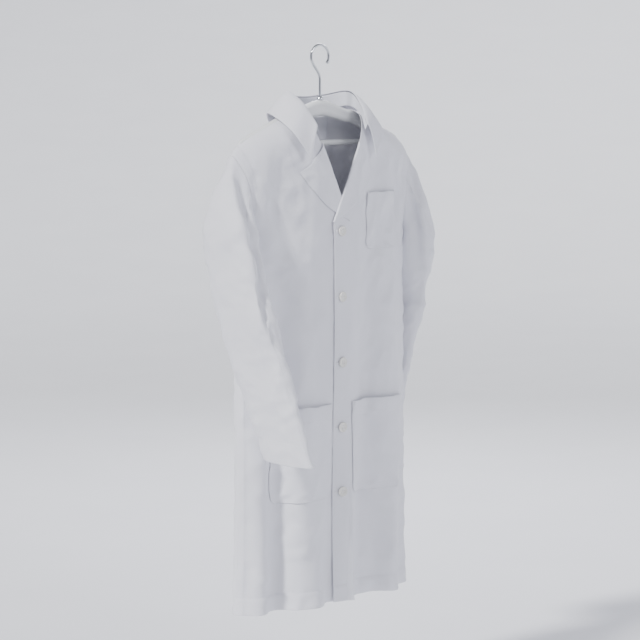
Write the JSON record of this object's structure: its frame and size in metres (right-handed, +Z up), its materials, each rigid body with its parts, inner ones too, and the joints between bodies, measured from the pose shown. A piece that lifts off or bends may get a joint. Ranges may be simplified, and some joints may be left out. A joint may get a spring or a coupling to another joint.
{
  "type": "lab coat on a hanger",
  "caption": "White knee-length laboratory coat with notched lapels, button front, patch pockets and half belt, hanging on a plastic hanger with a swivel wire hook.",
  "frame": {"origin": "point under the hook's bend that rests on the top of the rail", "axes": "+Z up along the hook's shank, -Y out of the coat's front, +X towards the wearer's left"},
  "size_m": [0.5654, 0.3656, 1.095],
  "materials": {
    "coat_cloth": "bleached poly-cotton twill, matt, soft sheen at grazing angles",
    "loop_tape": "folded cotton tape, matt",
    "label_tape": "smooth woven label, blank",
    "button_resin": "pearly polyester resin, soft gloss",
    "hanger_plastic": "injection-moulded white plastic, satin",
    "hook_wire": "chromed steel wire, polished"
  },
  "bodies": {
    "hook": {"hook": "hook_wire"},
    "hanger": {"hanger_frame": "hanger_plastic", "trouser_bar": "hanger_plastic"},
    "coat": {"back_left": "coat_cloth", "back_right": "coat_cloth", "chest_left": "coat_cloth", "chest_right": "coat_cloth", "side_left": "coat_cloth", "side_right": "coat_cloth", "collar_stand": "coat_cloth", "collar_leaf": "coat_cloth", "lapel_left": "coat_cloth", "lapel_right": "coat_cloth", "breast_pocket": "coat_cloth", "neck_facing": "coat_cloth", "size_label": "label_tape", "hanging_loop": "loop_tape", "back_belt": "coat_cloth", "button_1": "button_resin", "belt_button_left": "button_resin", "belt_button_right": "button_resin"},
    "front_left": {"front_left": "coat_cloth", "facing_left": "coat_cloth", "pocket_left": "coat_cloth"},
    "front_right": {"front_right": "coat_cloth", "facing_right": "coat_cloth", "pocket_right": "coat_cloth", "button_2": "button_resin", "button_3": "button_resin", "button_4": "button_resin", "button_5": "button_resin"},
    "sleeve_left": {"sleeve_upper_left": "coat_cloth", "sleeve_under_left": "coat_cloth", "cuff_hem_left": "coat_cloth"},
    "sleeve_right": {"sleeve_upper_right": "coat_cloth", "sleeve_under_right": "coat_cloth", "cuff_hem_right": "coat_cloth"}
  },
  "joints": [
    {"name": "hook_swivel", "type": "hinge", "parent": "hook", "child": "hanger", "pos_m": [0, 0, -0.1], "axis": [0, 0, 1], "continuous": true},
    {"name": "coat_lift", "type": "slide", "parent": "hanger", "child": "coat", "axis": [0, 0, 1], "range_m": [0, 1.1]},
    {"name": "front_left_open", "type": "hinge", "parent": "coat", "child": "front_left", "pos_m": [0.185, -0.042, -0.75], "axis": [0, 0, 1], "range_deg": [0, 60]},
    {"name": "front_right_open", "type": "hinge", "parent": "coat", "child": "front_right", "pos_m": [-0.185, -0.042, -0.75], "axis": [0, 0, 1], "range_deg": [-30, 0]},
    {"name": "sleeve_left_lift", "type": "hinge", "parent": "coat", "child": "sleeve_left", "pos_m": [0.225, 0, -0.186], "axis": [0, -1, 0], "range_deg": [0, 45]},
    {"name": "sleeve_right_lift", "type": "hinge", "parent": "coat", "child": "sleeve_right", "pos_m": [-0.225, 0, -0.186], "axis": [0, 1, 0], "range_deg": [0, 45]}
  ],
  "couplings": [
    {"joint": "front_right_open", "follows": "front_left_open", "ratio": -0.5}
  ]
}
